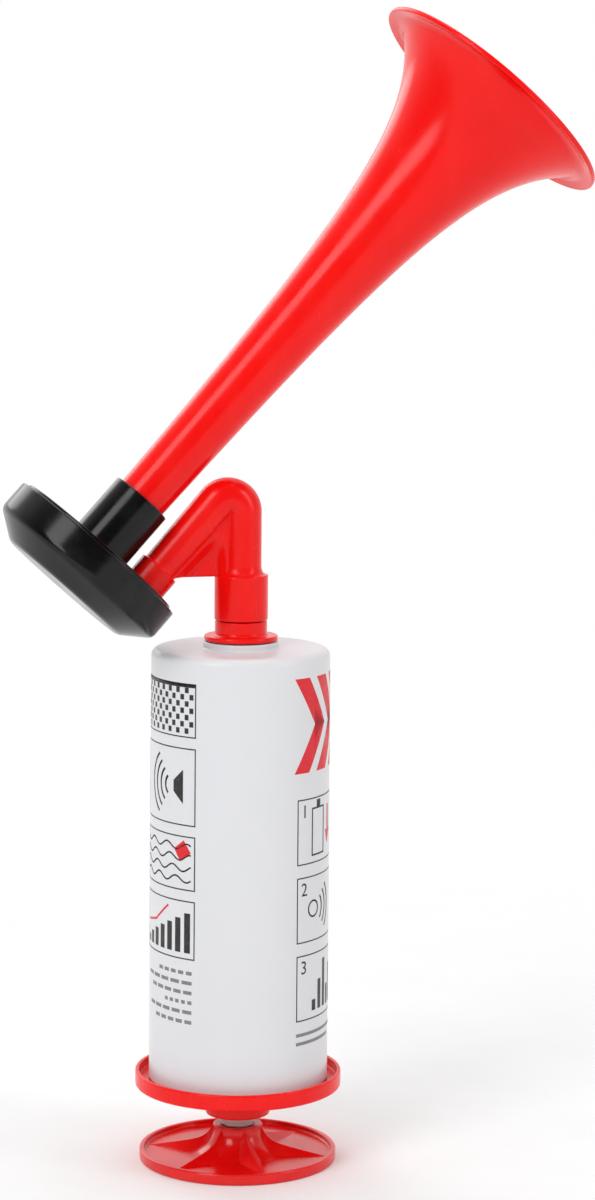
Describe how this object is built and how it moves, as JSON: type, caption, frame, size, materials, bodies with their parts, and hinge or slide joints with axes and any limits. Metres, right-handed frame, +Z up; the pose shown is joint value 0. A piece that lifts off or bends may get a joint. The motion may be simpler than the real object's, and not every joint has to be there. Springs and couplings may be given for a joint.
{
  "type": "hand pump air horn",
  "caption": "Hand-pumped signal horn: flared trumpet on a round diaphragm housing, fed by a bent pipe from an upright pump barrel with a disc pull handle at its foot.",
  "frame": {"origin": "centre of the pull handle's flat underside, on which the horn stands", "axes": "+Z up along the pump barrel, +X towards the trumpet's mouth, +Y completes the right-handed frame"},
  "size_m": [0.1674, 0.0756, 0.3231],
  "materials": {
    "red_plastic": "smooth glossy moulded red",
    "black_plastic": "smooth satin to glossy moulded black",
    "white_plastic": "smooth white",
    "natural_plastic": "milky translucent, undyed",
    "film": "thin milky sheet",
    "rubber": "matte black rubber",
    "steel": "plated steel"
  },
  "bodies": {
    "pump_body": {"pump_barrel": "white_plastic", "bottom_cap": "red_plastic", "rod_guide": "natural_plastic", "outlet_neck": "red_plastic", "neck_washer": "rubber", "neck_nut": "white_plastic", "neck_o_ring": "rubber"},
    "horn_head": {"elbow_pipe": "red_plastic", "housing_lid": "black_plastic", "housing_cover": "black_plastic", "diaphragm": "film", "clamp_ring": "black_plastic", "diaphragm_gasket": "rubber", "horn_bell": "red_plastic"},
    "piston": {"piston_head": "white_plastic", "piston_cup": "rubber", "cup_retainer": "white_plastic", "piston_screw": "steel"},
    "plunger": {"piston_rod": "natural_plastic", "pump_handle": "red_plastic"}
  },
  "joints": [
    {"name": "horn_swivel", "type": "hinge", "parent": "pump_body", "child": "horn_head", "pos_m": [0, 0, 0.1514], "axis": [0, 0, 1], "continuous": true},
    {"name": "plunger_slide", "type": "slide", "parent": "pump_body", "child": "piston", "axis": [0, 0, -1], "range_m": [0, 0.085]},
    {"name": "handle_turn", "type": "hinge", "parent": "piston", "child": "plunger", "pos_m": [0, 0, 0], "axis": [0, 0, 1], "continuous": true}
  ]
}
